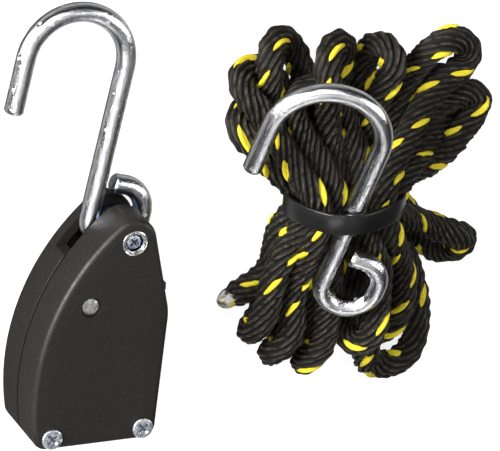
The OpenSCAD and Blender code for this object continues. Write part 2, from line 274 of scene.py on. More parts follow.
def mesh_piece(name, points, faces):
    mesh = bpy.data.meshes.new(name)
    mesh.from_pydata((np.asarray(points) * MM).tolist(), [], [list(f) for f in faces])
    mesh.polygons.foreach_set("use_smooth", [True] * len(mesh.polygons))
    mesh.update()
    obj = bpy.data.objects.new(name, mesh)
    bpy.context.collection.objects.link(obj)
    return obj


def tube_piece(name, rings):
    """Closed mesh through rings of points, and its UV map: turns round and millimetres along."""
    count, sides = rings.shape[:2]
    faces = ring_faces(count, sides).tolist()
    points = np.concatenate([rings.reshape(-1, 3), [rings[0].mean(0), rings[-1].mean(0)]])
    first, last = count * sides, count * sides + 1
    base = (count - 1) * sides
    faces += [[first, (j + 1) % sides, j] for j in range(sides)]
    faces += [[last, base + j, base + (j + 1) % sides] for j in range(sides)]
    obj = mesh_piece(name, points, faces)
    middle = rings.mean(1)
    along = np.concatenate([[0], np.cumsum(np.linalg.norm(np.diff(middle, axis=0), axis=1))])
    i = np.repeat(np.arange(count - 1), sides)
    j = np.tile(np.arange(sides), count - 1)
    u = np.stack([j, j + 1, j + 1, j], 1) / sides
    v = np.stack([along[i], along[i], along[i + 1], along[i + 1]], 1)
    uv = np.zeros((len(obj.data.loops), 2), np.float32)
    uv[: u.size, 0] = u.ravel()
    uv[: v.size, 1] = v.ravel()
    obj.data.uv_layers.new(name="along").data.foreach_set("uv", uv.ravel())
    return obj


def lathe(name, profile, centre, sides=72):
    """Solid turned about Z through centre: (radius, height) pairs that start and end on the axis."""
    a = np.linspace(0, 2 * math.pi, sides, endpoint=False)
    inner = np.array(profile[1:-1], float)
    rings = np.stack([
        centre[0] + inner[:, :1] * np.cos(a),
        centre[1] + inner[:, :1] * np.sin(a),
        np.repeat(inner[:, 1:], sides, 1)
    ], 2)
    count = len(inner)
    points = np.concatenate([
        rings.reshape(-1, 3), [(*centre, profile[0][1]), (*centre, profile[-1][1])]
    ])
    faces = ring_faces(count, sides).tolist()
    base = (count - 1) * sides
    faces += [[count * sides, (j + 1) % sides, j] for j in range(sides)]
    faces += [[count * sides + 1, base + j, base + (j + 1) % sides] for j in range(sides)]
    obj = mesh_piece(name, points, faces)
    sharpen(obj, 35)
    return obj


def sharpen(obj, angle):
    """Smooth shading with hard edges where faces meet at more than that angle."""
    bm = bmesh.new()
    bm.from_mesh(obj.data)
    bmesh.ops.recalc_face_normals(bm, faces=bm.faces)
    limit = math.radians(angle)
    for edge in bm.edges:
        edge.smooth = len(edge.link_faces) != 2 or edge.calc_face_angle(0) < limit
    for face in bm.faces:
        face.smooth = True
    bm.to_mesh(obj.data)
    bm.free()


def cut(obj, tool):
    """Takes tool out of obj. The tool is used up."""
    mod = obj.modifiers.new("cut", "BOOLEAN")
    mod.operation = "DIFFERENCE"
    mod.solver = "EXACT"
    mod.object = tool
    graph = bpy.context.evaluated_depsgraph_get()
    mesh = bpy.data.meshes.new_from_object(obj.evaluated_get(graph))
    obj.modifiers.clear()
    old = obj.data
    obj.data = mesh
    bpy.data.meshes.remove(old)
    bpy.data.objects.remove(tool)


def prism(name, levels):
    """Closed solid through outlines of the same number of points: a list of (outline, z)."""
    rings = np.array([[(x, y, z) for x, y in points] for points, z in levels])
    count, sides = rings.shape[:2]
    faces = ring_faces(count, sides).tolist()
    faces.append(list(range(sides))[::-1])
    faces.append(list(range((count - 1) * sides, count * sides)))
    return mesh_piece(name, rings.reshape(-1, 3), faces)


def rod(centre, r, z0, z1, sides=48):
    a = np.linspace(0, 2 * math.pi, sides, endpoint=False)
    ring = np.stack([centre[0] + r * np.cos(a), centre[1] + r * np.sin(a)], 1)
    return prism("tool", [(ring, z0), (ring, z1)])


def block(x0, x1, y0, y1, z0, z1):
    ring = [(x0, y0), (x1, y0), (x1, y1), (x0, y1)]
    return prism("tool", [(ring, z0), (ring, z1)])


# ---------------------------------------------------------------- node materials

class Paint:
    """Builds a node material from short calls."""

    def __init__(self, name):
        self.material = bpy.data.materials.new(name)
        self.material.use_nodes = True
        self.tree = self.material.node_tree
        self.shader = self.tree.nodes["Principled BSDF"]

    def node(self, kind, settings=(), inputs=()):
        n = self.tree.nodes.new(kind)
        for key, value in dict(settings).items():
            setattr(n, key, value)
        for key, value in dict(inputs).items():
            self.feed(n.inputs[key], value)
        return n

    def feed(self, socket, value):
        if isinstance(value, bpy.types.NodeSocket):
            self.tree.links.new(value, socket)
        else:
            socket.default_value = value

    def math(self, operation, a, b=0.0):
        return self.node("ShaderNodeMath", {"operation": operation}, {0: a, 1: b}).outputs[0]

    def noise(self, vector, scale, detail=3.0, rough=0.5):
        return self.node("ShaderNodeTexNoise", {}, {
            "Vector": vector, "Scale": scale, "Detail": detail, "Roughness": rough
        }).outputs["Fac"]

    def ramp(self, value, stops):
        n = self.node("ShaderNodeValToRGB", {}, {"Fac": value})
        while len(n.color_ramp.elements) < len(stops):
            n.color_ramp.elements.new(0.5)
        for element, (at, colour) in zip(n.color_ramp.elements, stops):
            element.position = at
            element.color = (*colour, 1)
        return n.outputs["Color"]

    def level(self, value, low, high, out_low=0.0, out_high=1.0):
        return self.node("ShaderNodeMapRange", {}, {
            "Value": value, "From Min": low, "From Max": high, "To Min": out_low, "To Max": out_high
        }).outputs["Result"]

    def mix(self, fac, a, b):
        n = self.node("ShaderNodeMix", {"data_type": "RGBA"})
        self.feed(n.inputs["Factor"], fac)
        self.feed(n.inputs[6], a if isinstance(a, bpy.types.NodeSocket) else (*a, 1))
        self.feed(n.inputs[7], b if isinstance(b, bpy.types.NodeSocket) else (*b, 1))
        return n.outputs[2]

    def place(self, kind="Object"):
        return self.node("ShaderNodeTexCoord").outputs[kind]

    def uv(self, name):
        return self.node("ShaderNodeUVMap", {"uv_map": name}).outputs["UV"]

    def stretched(self, vector, scale):
        return self.node("ShaderNodeMapping", {}, {"Vector": vector, "Scale": scale}).outputs["Vector"]

    def bump(self, height, strength, distance, normal=None):
        n = self.node("ShaderNodeBump", {}, {"Height": height, "Strength": strength, "Distance": distance})
        if normal is not None:
            self.feed(n.inputs["Normal"], normal)
        return n.outputs["Normal"]

    def set(self, **values):
        for key, value in values.items():
            name = key.replace("_", " ")
            self.feed(self.shader.inputs[name], value)
        return self


def rope_material():
    paint = Paint("braided_rope")
    cell = paint.node("ShaderNodeSeparateXYZ", {}, {0: paint.uv("stitch")})
    across = paint.math("ABSOLUTE", paint.math("SUBTRACT", cell.outputs[0], 0.5))
    along = paint.math("ABSOLUTE", paint.math("SUBTRACT", cell.outputs[1], 0.5))
    tracer = paint.node("ShaderNodeAttribute", {"attribute_name": "tracer"}).outputs["Fac"]
    # A leaf is widest in its middle and pointed at both ends
    pointed = paint.math("POWER", paint.math("MULTIPLY", along, 2.0), 2.6)
    half = paint.math("MULTIPLY", paint.math("SUBTRACT", 1.0, pointed), 0.56)
    inside = paint.level(paint.math("SUBTRACT", half, across), -0.02, 0.06)
    leaf = paint.math("MULTIPLY", inside, tracer)
    thread = paint.stretched(paint.uv("along"), (70.0, 0.45, 1.0))
    fibre = paint.noise(thread, 3.0, 3.0, 0.6)
    broken = paint.noise(paint.stretched(paint.uv("along"), (46.0, 0.9, 1.0)), 1.0, 4.0, 0.7)
    # Painted highlight: lighter brownish glints painted along the ridge crests, broken into fragments by
    # noise
    crest = paint.level(across, 0.08, 0.30, 1.0, 0.0)
    glint = paint.math("MULTIPLY", crest, paint.level(broken, 0.45, 0.66))
    black = paint.ramp(fibre, [(0.3, (0.0012, 0.001, 0.0008)), (0.72, (0.010, 0.008, 0.0045))])
    with_painted_glints = paint.mix(glint, black, (0.080, 0.064, 0.038))
    # Painted shade: the grooves between the ridges and the dips at the stitch ends are painted near black
    groove = paint.math("MAXIMUM", paint.level(across, 0.16, 0.44), paint.level(along, 0.38, 0.5))
    painted_hollow_shade = paint.mix(groove, with_painted_glints, (0.0008, 0.0007, 0.0006))
    yellow = paint.ramp(fibre, [(0.25, (0.42, 0.315, 0.008)), (0.6, (0.68, 0.575, 0.028))])
    # Painted shade: the yellow leaves are painted darker orange towards their ends, where the stitch dips
    shaded_leaf_ends = paint.mix(paint.level(along, 0.36, 0.5), yellow, (0.42, 0.28, 0.006))
    paint.set(Base_Color=paint.mix(leaf, painted_hollow_shade, shaded_leaf_ends))
    paint.set(Roughness=paint.level(groove, 0.0, 1.0, 0.36, 0.8))
    paint.shader.inputs["Specular IOR Level"].default_value = 0.24
    paint.set(Normal=paint.bump(fibre, 0.9, 0.00035))
    return paint.material


def zinc_material(name, tint, rough, along_wire=True, depth=0.0002, deep=None):
    """Bright plating with drawn streaks, cloudy roughness and small specks, with painted shade below the
    height deep, in recesses.
    """
    paint = Paint(name)
    place = paint.place()
    cloud = paint.noise(place, 1700.0, 5.0, 0.7)
    if along_wire:
        streak = paint.noise(paint.stretched(paint.uv("along"), (26.0, 0.12, 1.0)), 2.0, 4.0, 0.65)
    else:
        streak = paint.noise(paint.stretched(place, (900.0, 900.0, 2500.0)), 1.0, 3.0)
    specks = paint.node("ShaderNodeTexVoronoi", {}, {"Vector": place, "Scale": 420.0, "Randomness": 1.0})
    spot = paint.level(specks.outputs["Distance"], 0.14, 0.24, 1.0, 0.0)
    chosen = paint.level(paint.noise(place, 80.0, 2.0), 0.55, 0.60)
    fleck = paint.math("MULTIPLY", spot, chosen)
    drawn_tone = paint.level(streak, 0.40, 0.56)
    base = paint.mix(cloud, [c * 0.82 for c in tint], tint)
    drawn_tint = [c * share for c, share in zip(tint, DRAWN_SHARE)]
    base = paint.mix(drawn_tone, drawn_tint, base)
    spotted = paint.mix(fleck, base, (0.80, 0.78, 0.72))
    if deep is not None:
        # Painted shade: below the height deep, in the cross recesses and the post's bore, the plating is
        # painted dark blue-grey
        height = paint.node("ShaderNodeSeparateXYZ", {}, {0: place}).outputs[2]
        painted_hollow_shade = paint.level(height, (deep - 0.25) * MM, (deep + 0.1) * MM, 1.0, 0.0)
        spotted = paint.mix(painted_hollow_shade, spotted, (0.10, 0.13, 0.19))
    paint.set(Base_Color=spotted)
    uneven = paint.level(cloud, 0.3, 0.7, rough * 0.7, rough * 1.5)
    paint.set(Roughness=paint.math("ADD", uneven, paint.math("MULTIPLY", fleck, 0.35)))
    paint.shader.inputs["Metallic"].default_value = 1.0
    drawn = paint.bump(streak, 0.5, 0.00012)
    paint.set(Normal=paint.bump(cloud, 0.45, depth, drawn))
    return paint.material


def plastic_material(name, colour, rough, grain=0.35, edge_highlight_and_wear=None):
    """Moulded plastic with a fine spark-eroded grain, soft mottling and lighter rounded edges: painted
    highlight with some rubbed wear.
    """
    paint = Paint(name)
    place = paint.place()
    mottle = paint.noise(place, 55.0, 4.0, 0.6)
    fine = paint.noise(place, 2600.0, 2.0, 0.6)
    pores = paint.noise(place, 900.0, 3.0, 0.55)
    base = paint.mix(mottle, [c * 0.86 for c in colour], [c * 1.14 for c in colour])
    if edge_highlight_and_wear is not None:
        # Painted highlight: the rounded front and rear edges are painted a lighter brown in patches, for the
        # light they catch and partly for wear
        facing = paint.node("ShaderNodeSeparateXYZ", {}, {0: paint.place("Normal")})
        tilt = paint.math("ABSOLUTE", facing.outputs[2])
        rising = paint.level(tilt, 0.3, 0.6)
        falling = paint.level(tilt, 0.72, 0.92, 1.0, 0.0)
        patchy = paint.level(paint.noise(place, 130.0, 4.0, 0.7), 0.42, 0.62)
        height = paint.node("ShaderNodeSeparateXYZ", {}, {0: place}).outputs[2]
        from_mid = paint.math("ABSOLUTE", paint.math("SUBTRACT", height, MID_Z * MM))
        outer = paint.level(from_mid, (MID_Z - 2.0) * MM, (MID_Z - 1.5) * MM)
        edge = paint.math("MULTIPLY", paint.math("MULTIPLY", rising, falling), patchy)
        edge = paint.math("MULTIPLY", edge, outer)
        base = paint.mix(paint.math("MULTIPLY", edge, 0.12), base, edge_highlight_and_wear)
    paint.set(Base_Color=base)
    paint.set(Roughness=paint.level(pores, 0.3, 0.7, rough - 0.07, rough + 0.09))
    paint.shader.inputs["Specular IOR Level"].default_value = 0.26
    rough_skin = paint.bump(fine, grain, 0.00008)
    paint.set(Normal=paint.bump(pores, grain, 0.00012, rough_skin))
    return paint.material


def tie_material():
    paint = Paint("glossy_nylon")
    place = paint.place()
    cloud = paint.noise(place, 70.0, 3.0)
    paint.set(Base_Color=paint.mix(cloud, (0.004, 0.004, 0.004), (0.009, 0.009, 0.009)))
    paint.set(Roughness=paint.level(cloud, 0.3, 0.7, 0.2, 0.32))
    wave = paint.noise(paint.stretched(place, (40.0, 260.0, 40.0)), 1.0, 2.0)
    paint.set(Normal=paint.bump(wave, 0.2, 0.0004))
    paint.shader.inputs["Specular IOR Level"].default_value = 0.28
    return paint.material


def melted_material():
    paint = Paint("melted_end")
    place = paint.place()
    cloud = paint.noise(place, 420.0, 4.0, 0.6)
    tone = paint.ramp(cloud, [
        (0.43, (0.012, 0.010, 0.008)), (0.50, (0.45, 0.44, 0.40)), (0.7, (0.93, 0.93, 0.90))
    ])
    yellow = paint.level(paint.noise(place, 260.0, 2.0), 0.54, 0.60)
    paint.set(Base_Color=paint.mix(yellow, tone, (0.78, 0.62, 0.04)))
    paint.set(Roughness=paint.level(cloud, 0.3, 0.7, 0.12, 0.4))
    paint.shader.inputs["Transmission Weight"].default_value = 0.6
    paint.shader.inputs["IOR"].default_value = 1.49
    paint.set(Normal=paint.bump(cloud, 0.6, 0.0006))
    return paint.material


# ---------------------------------------------------------------- rope

def slot_point(name, side):
    x, z = SLOTS[name]
    return WAIST + np.array([x, side * BAND_HALF, z])


def loop_line(end, heading, width, roll, slot_in, slot_out):
    """From one slot out round a bend and back to another slot, and which point is the middle of the bend."""
    side = 1.0 if end[1] > WAIST[1] else -1.0
    a, t = math.radians(heading), math.radians(roll)
    ahead = np.array([math.cos(a), math.sin(a), 0.0])
    across = np.array([-math.sin(a) * math.cos(t), math.cos(a) * math.cos(t), math.sin(t)])
    start, stop = slot_point(slot_in, side), slot_point(slot_out, side)
    if np.dot(across, start - stop) < 0:
        across = -across
    turn = np.linspace(0, math.pi, 11)[:, None]
    bend = np.array(end) + width / 2 * (np.cos(turn) * across + np.sin(turn) * ahead)
    out = np.array([0, side, 0.0])
    go, back = np.linalg.norm(bend[0] - start), np.linalg.norm(bend[-1] - stop)
    leg = cubic(start, bend[0], out * go * 1.1, ahead * go * 0.7, 14)
    other = cubic(bend[-1], stop, -ahead * back * 0.7, -out * back * 1.1, 14)
    return np.concatenate([leg[:-1], bend, other[1:]]), len(leg) - 1 + 5


def rope_sketch():
    """The whole route as drawn, before the runs push each other aside."""
    free, tail = np.array(FREE_END), np.array(TAIL_END)
    lean = free[2] - free[1]
    first = cubic(free[0], free[1], free[1] - free[0], lean * 0.8, 5)[:-1]
    second = cubic(free[1], free[2], lean, lean, 5)[:-1]
    third = cubic(free[2], slot_point(LOOPS[0][4], -1), lean * 1.6, np.array([0, 16.0, 0]), 10)
    parts = [first, second, third]
    count = sum(len(part) for part in parts)
    middles = []
    for loop in LOOPS:
        line, middle = loop_line(*loop)
        middles.append(count + middle)
        parts.append(line)
        count += len(line)
    last = slot_point(LOOPS[-1][5], 1)
    parts.append(cubic(last, tail[0], np.array([0, 8.0, 0]), tail[1] - tail[0], 6))
    parts.append(cubic(tail[0], tail[2], (tail[1] - tail[0]) * 1.6, (tail[3] - tail[2]) * 1.6, 8)[1:])
    parts.append(tail[3:])
    return np.concatenate(parts), middles


def away_from_waist(y, reach):
    return np.clip((np.abs(y - WAIST[1]) - BAND_HALF) / reach, 0, 1)


def settle(p, bends, wire, rounds=500):
    """Pushes the runs apart, keeps the bends, the floor, the tie and the load hook's wire.

    It doesn't part them fully: where the hank is full, runs still overlap and the sharpest folds stay tight.
    """
    rest = np.linalg.norm(np.diff(p, axis=0), axis=1).mean()
    home, goal = p.copy(), p[bends].copy()
    goal_mean = goal.mean(1, keepdims=True)
    shape = goal - goal_mean
    first, second = np.triu_indices(len(p), int(round(2 * ROPE_D / rest)))
    clear = WIRE_R + ROPE_R * WIRE_PRESS
    tied = np.abs(home[:, 1] - WAIST[1]) < BAND_HALF + 1
    room = np.array([WAIST_W, WAIST_T]) / 2 - ROPE_R + 0.3
    softest = rest**2 / (2 * RELAXED_BEND_R)
    for turn in range(rounds):
        if turn % 12 == 0:
            close = ((p[first] - p[second])**2).sum(1) < (ROPE_D + 3)**2
            i, j = first[close], second[close]
        gap = p[i] - p[j]
        apart = np.linalg.norm(gap, axis=1) + 1e-9
        want = ROPE_D * (TIED_SPACING + FREE_SPACING * away_from_waist((p[i, 1] + p[j, 1]) / 2, 14.0))
        push = np.clip(want - apart, 0, 1.5)
        shift = gap / apart[:, None] * push[:, None] / 2
        move, hits = np.zeros_like(p), np.zeros(len(p))
        np.add.at(move, i, shift)
        np.add.at(move, j, -shift)
        np.add.at(hits, i, push > 0)
        np.add.at(hits, j, push > 0)
        p = p + move / np.maximum(hits, 1)[:, None] * 0.9
        now = p[bends]
        p[bends] += (shape + now.mean(1, keepdims=True) * 0.92 + goal_mean * 0.08 - now) * 0.25
        # The load hook's wire lies on the rope
        from_wire = p[:, None] - wire[None]
        far = np.linalg.norm(from_wire, axis=2)
        nearest = far.argmin(1)
        gap = far.min(1)
        under = gap < clear
        away = from_wire[np.arange(len(p)), nearest][under]
        away[:, 2] = np.minimum(away[:, 2], 0.15)
        away /= np.linalg.norm(away, axis=1)[:, None]
        p[under] += away * (clear - gap[under])[:, None] * 0.5
        p[:, 2] -= DROP * away_from_waist(p[:, 1], 12.0)
        for _ in range(2):
            p[1:-1] += ((p[:-2] + p[2:]) / 2 - p[1:-1]) * SMOOTHING
        sag = (p[:-2] + p[2:]) / 2 - p[1:-1]
        size = np.linalg.norm(sag, axis=1)
        over = sag * (np.maximum(size - softest, 0) / np.maximum(size, 1e-9) * 0.5)[:, None]
        p[1:-1] += over
        p[:-2] -= over / 2
        p[2:] -= over / 2
        for _ in range(6):
            link = p[1:] - p[:-1]
            length = np.linalg.norm(link, axis=1) + 1e-9
            share = link * ((length - rest) / length * 0.25)[:, None]
            p[:-1] += share
            p[1:] -= share
        part = (p[tied][:, [0, 2]] - WAIST[[0, 2]]) / room
        part /= np.maximum(np.linalg.norm(part, axis=1), 1)[:, None]
        kept = p[tied]
        kept[:, [0, 2]] = part * room + WAIST[[0, 2]]
        kept[:, 1] += (home[tied, 1] - kept[:, 1]) * 0.3
        p[tied] = kept
        p[:, 2] = np.maximum(p[:, 2], FLOOR_GAP)
        p[:8] += (home[:8] - p[:8]) * END_HOLD
        p[-4:] += (home[-4:] - p[-4:]) * END_HOLD
    for _ in range(6):
        p[1:-1] += ((p[:-2] + p[2:]) / 2 - p[1:-1]) * 0.5
        p[:, 2] = np.maximum(p[:, 2], FLOOR_GAP)
    return p


def rope_line(wire):
    sketch, middles = rope_sketch()
    route, at, along = spaced(sketch, ROUTE_STEP)
    centres = np.array([int(np.abs(at - along[m]).argmin()) for m in middles])
    return settle(route, centres[:, None] + np.arange(-5, 6), wire)


def is_tracer(ridge, start):
    """Whether the stitch on that ridge that starts at that distance is one of the yellow ones."""
    number = np.ceil(start / TRACER_STEP)
    return (number * TRACER_STEP < start + STITCH_L) & (np.mod(number * TRACER_TURN, RIDGES) == ridge)


def rope_piece(line):
    """Braided rope: eleven spiral ridges of overlapping stitches, some of them yellow."""
    line, at = smooth_line(line, RING_STEP)
    sides = RIDGES * COLUMNS_PER_RIDGE
    ring, column = np.arange(len(line))[:, None], np.arange(sides)[None]
    pace = 0.5 + 0.5 * np.sin(at / 71.0 + 0.8) * np.cos(at / 173.0)
    turns = np.cumsum(RING_STEP / (FASTEST_TURN + (SLOWEST_TURN - FASTEST_TURN) * pace**2))
    ridge = column // COLUMNS_PER_RIDGE
    wander = 0.005 * np.sin(at[:, None] / 1.9 + ridge * 2.4)
    wander = wander + 0.002 * np.sin(at[:, None] / 1.1 + ridge * 4.1)
    angle = 2 * math.pi * (column / sides + turns[:, None] + wander)
    across = (column % COLUMNS_PER_RIDGE) / COLUMNS_PER_RIDGE
    phase = ring + RINGS_PER_STITCH // 2 * (ridge % 2)
    along = (phase % RINGS_PER_STITCH) / RINGS_PER_STITCH
    start = (phase // RINGS_PER_STITCH - 0.5 * (ridge % 2)) * STITCH_L
    yellow = is_tracer(ridge, start)
    crown = np.sin(math.pi * across) ** 0.6
    stitch = np.abs(np.sin(math.pi * along)) ** 0.6
    rng = np.random.default_rng(7)
    tension = rng.normal(0, 0.11, (len(line) // RINGS_PER_STITCH + 2, RIDGES))
    loose = tension[phase // RINGS_PER_STITCH, np.broadcast_to(ridge, phase.shape)]
    radius = CREST_R - GROOVE_DEPTH * (1 - crown) - STITCH_DIP * crown * (1 - stitch)
    ripple = 0.15 * np.sin(4 * math.pi * along + ridge) * (1 - yellow)
    radius = radius + crown * (loose + ripple + TRACER_BULGE * yellow * stitch)
    radius = radius * (1 + 0.012 * np.sin(at / 3.1) + 0.01 * np.sin(at / 7.7 + 1))[:, None]
    to_end = np.minimum(at, at[-1] - at)[:, None]
    radius = radius * np.sqrt(1 - TAPER_SHARE * np.clip(1 - to_end / TAPER_L, 0, 1) ** 2)
    obj = tube_piece("rope", tube_rings(line, radius, angle))
    face_ring = np.repeat(np.arange(len(line) - 1), sides)
    face_column = np.tile(np.arange(sides), len(line) - 1)
    tracer = np.zeros(len(obj.data.polygons), np.float32)
    tracer[: len(face_ring)] = yellow[face_ring, face_column]
    obj.data.attributes.new("tracer", "FLOAT", "FACE").data.foreach_set("value", tracer)
    u = (face_column % COLUMNS_PER_RIDGE)[:, None] + np.array([0, 1, 1, 0])
    v = (phase[face_ring, face_column] % RINGS_PER_STITCH)[:, None] + np.array([0, 0, 1, 1])
    uv = np.zeros((len(obj.data.loops), 2), np.float32)
    uv[: u.size, 0] = (u / COLUMNS_PER_RIDGE).ravel()
    uv[: v.size, 1] = (v / RINGS_PER_STITCH).ravel()
    obj.data.uv_layers.new(name="stitch").data.foreach_set("uv", uv.ravel())
    obj.data.materials.append(rope_material())
    length = np.linalg.norm(np.diff(line, axis=0), axis=1).sum()
    return obj, line, length


def melted_piece(name, start, stop, seed):
    """Blob of melted fibre on a cut end, from start inside the rope to its ragged outer end."""
    start, stop = np.array(start, float), np.array(stop, float)
    count, sides = 22, 40
    t = np.linspace(0, 1, count)
    line = start + (stop - start) * t[:, None]
    rng = np.random.default_rng(seed)
    a = np.linspace(0, 2 * math.pi, sides, endpoint=False)
    shift = rng.uniform(0, 2 * math.pi, 6)
    wave = sum(np.sin(a * (k + 2) + shift[k] + t[:, None] * 3.0) / (k + 2) for k in range(5))
    swell = np.sqrt(np.clip(1 - ((t - 0.35) / 0.68) ** 2, 0.02, 1))
    radius = 2.3 * swell[:, None] * (1 + 0.26 * wave * t[:, None])
    return tube_piece(name, tube_rings(line, radius, np.broadcast_to(a, radius.shape)))


# ---------------------------------------------------------------- tie band

def hull(points):
    """Convex outline of points, counter-clockwise."""
    order = sorted(map(tuple, points))
    sides = []
    for run in (order, order[::-1]):
        chain = []
        for p in run:
            while len(chain) > 1:
                (ax, ay), (bx, by) = chain[-2], chain[-1]
                if (bx - ax) * (p[1] - ay) - (by - ay) * (p[0] - ax) > 0:
                    break
                chain.pop()
            chain.append(p)
        sides += chain[:-1]
    return np.array(sides)


def band_line(gap, count=160):
    """Closed outline round the rope and over the hook's shank, count points evenly apart."""
    a = np.linspace(0, 2 * math.pi, 96, endpoint=False)
    rope = np.stack([(WAIST_W / 2 + gap) * np.cos(a), (WAIST_T / 2 + gap) * np.sin(a)], 1)
    bow = np.array(BAND_BOW) + (BAND_BOW_R + gap) * np.stack([np.cos(a), np.sin(a)], 1)
    line = hull(np.concatenate([rope, bow]))
    closed = np.concatenate([line, line[:1]])
    along = np.concatenate([[0], np.cumsum(np.linalg.norm(np.diff(closed, axis=0), axis=1))])
    at = np.linspace(0, along[-1], count, endpoint=False)
    return np.stack([np.interp(at, along, closed[:, k]) for k in range(2)], 1)


def band_piece():
    """Flat moulded strap with rounded edges and its locking head, low on the right."""
    line = band_line(BAND_GAP + BAND_T / 2)
    for _ in range(30):
        line = (np.roll(line, 1, 0) + 2 * line + np.roll(line, -1, 0)) / 4
    ahead = np.roll(line, -1, 0) - np.roll(line, 1, 0)
    out = np.stack([ahead[:, 1], -ahead[:, 0]], 1) / np.linalg.norm(ahead, axis=1)[:, None]
    half_w, half_t, r = BAND_W / 2, BAND_T / 2, BAND_ROUND
    section = []
    for sx, sy, a0 in ((1, 1, 0), (-1, 1, 90), (-1, -1, 180), (1, -1, 270)):
        for a in np.radians(a0 + np.array([0, 30, 60, 90])):
            section.append((sx * (half_t - r) + r * math.cos(a), sy * (half_w - r) + r * math.sin(a)))
    section = np.array(section)
    section[:, 0] -= BAND_DISH * (section[:, 1] / half_w) ** 2
    rings = np.zeros((len(line), len(section), 3))
    flat = line[:, None] + out[:, None] * section[None, :, :1]
    rings[:, :, 0] = flat[:, :, 0]
    rings[:, :, 1] = section[None, :, 1]
    rings[:, :, 2] = flat[:, :, 1]
    rings += WAIST
    rings = np.concatenate([rings, rings[:1]])
    count, sides = rings.shape[:2]
    obj = mesh_piece("tie_strap", rings.reshape(-1, 3), ring_faces(count, sides).tolist())
    bm = bmesh.new()
    bm.from_mesh(obj.data)
    bmesh.ops.remove_doubles(bm, verts=bm.verts, dist=1e-6)
    head = bmesh.ops.create_cube(bm, size=1.0)["verts"]
    angle, low = math.radians(HEAD_TURN), math.radians(HEAD_AT)
    middle = WAIST + np.array([WAIST_W / 2 * math.cos(low), 0, WAIST_T / 2 * math.sin(low)])
    middle = middle + np.array([math.cos(angle), 0, math.sin(angle)]) * HEAD_REACH
    place = Matrix.Translation(Vector(middle) * MM) @ Matrix.Rotation(-angle, 4, "Y")
    stretch = Matrix.Diagonal((*(c * MM for c in HEAD_SIZE), 1))
    bmesh.ops.transform(bm, matrix=place @ stretch, verts=head)
    edges = list({e for v in head for e in v.link_edges})
    bmesh.ops.bevel(bm, geom=edges, offset=HEAD_BEVEL * MM, segments=3, affect="EDGES", profile=0.7)
    bmesh.ops.recalc_face_normals(bm, faces=bm.faces)
    bm.to_mesh(obj.data)
    bm.free()
    sharpen(obj, 50)
    obj.data.materials.append(tie_material())
    return obj


# ---------------------------------------------------------------- wire hooks

def hook_line(name):
    """Middle of the wire in the hook's own plane, from the tip round to the end of the eye."""
    arch_r, shank_l = ARCH_R[name], SHANK_L[name]
    parts = [np.stack([np.full(20, -EYE_R - 2*arch_r), np.linspace(shank_l - TIP_L, shank_l, 20)], 1)]
    a = np.radians(np.linspace(180, 0, 60))[1:]
    parts.append(np.stack([-EYE_R - arch_r + arch_r*np.cos(a), shank_l + arch_r*np.sin(a)], 1))
    parts.append(np.stack([np.full(40, -EYE_R), np.linspace(shank_l, 0, 41)[1:]], 1))
    a = np.radians(np.linspace(180, 360, 40))[1:]
    parts.append(np.stack([EYE_R*np.cos(a), EYE_R*np.sin(a)], 1))
    a = np.radians(np.linspace(0, 90, 24))
    parts.append(np.stack([EYE_R*np.cos(a), EYE_RISE + EYE_R*np.sin(a)], 1))
    t = np.linspace(0, EYE_END_L, 6)[1:]
    parts.append(np.stack([-t, EYE_RISE + EYE_R + 0.05 * t**2], 1))
    flat = np.concatenate(parts)
    return np.concatenate([flat, np.zeros((len(flat), 1))], 1)


def hook_place(name):
    if name == "top_hook":
        lean = math.radians(HOOK_LEAN)
        eye = (POST[0] + HOOK_SHIFT * math.sin(lean), POST[1] + HOOK_SHIFT * math.cos(lean), HOOK_Z)
        return Matrix.Translation(eye) @ Matrix.Rotation(-lean, 4, "Z")
    x, y, z = (math.radians(a) for a in LOAD_TURN)
    turn = Matrix.Rotation(z, 4, "Z") @ Matrix.Rotation(y, 4, "Y") @ Matrix.Rotation(x, 4, "X")
    return Matrix.Translation(LOAD_EYE) @ turn


def placed(points, matrix):
    m = np.array(matrix)
    return points @ m[:3, :3].T + m[:3, 3]


def hook_piece(name, material, seed):
    line, at, _ = spaced(hook_line(name), 0.5)
    sides = 48
    rng = np.random.default_rng(seed)
    a = np.linspace(0, 2 * math.pi, sides, endpoint=False)
    radius = np.full((len(line), sides), WIRE_R)
    # Shallow dings from the bending tools
    for _ in range(26):
        s, b = rng.uniform(0, at[-1]), rng.uniform(0, 2 * math.pi)
        wide, deep = rng.uniform(0.4, 1.1), rng.uniform(0.03, 0.09)
        off = (np.angle(np.exp(1j * (a - b))) * WIRE_R)[None] ** 2 + (at[:, None] - s) ** 2
        radius -= deep * np.exp(-off / wide**2)
    # The wire is sheared off with a small rounded edge
    for end in (at, at[-1] - at):
        radius *= (1 - 0.16 * np.clip(1 - end / 0.5, 0, 1) ** 2)[:, None]
    rings = tube_rings(placed(line, hook_place(name)), radius, np.broadcast_to(a, radius.shape))
    obj = tube_piece(name + "_wire", rings)
    sharpen(obj, 50)
    obj.data.materials.append(material)
    return obj


# ---------------------------------------------------------------- housing

def heading(v):
    return math.degrees(math.atan2(v[1], v[0]))


def arc(centre, r, a0, a1, n):
    a = np.radians(np.linspace(a0, a1, n + 1))
    return np.stack([centre[0] + r * np.cos(a), centre[1] + r * np.sin(a)], 1)


def corner(p0, p1, p2, r, n):
    """Rounds the corner p1, where the outline turns left."""
    a = (p1 - p0) / np.linalg.norm(p1 - p0)
    b = (p2 - p1) / np.linalg.norm(p2 - p1)
    turn = math.degrees(math.acos(np.dot(a, b)))
    start = p1 - a * r * math.tan(math.radians(turn / 2))
    centre = start + r * np.array([-a[1], a[0]])
    a0 = heading(start - centre)
    return arc(centre, r, a0, a0 + turn, n)


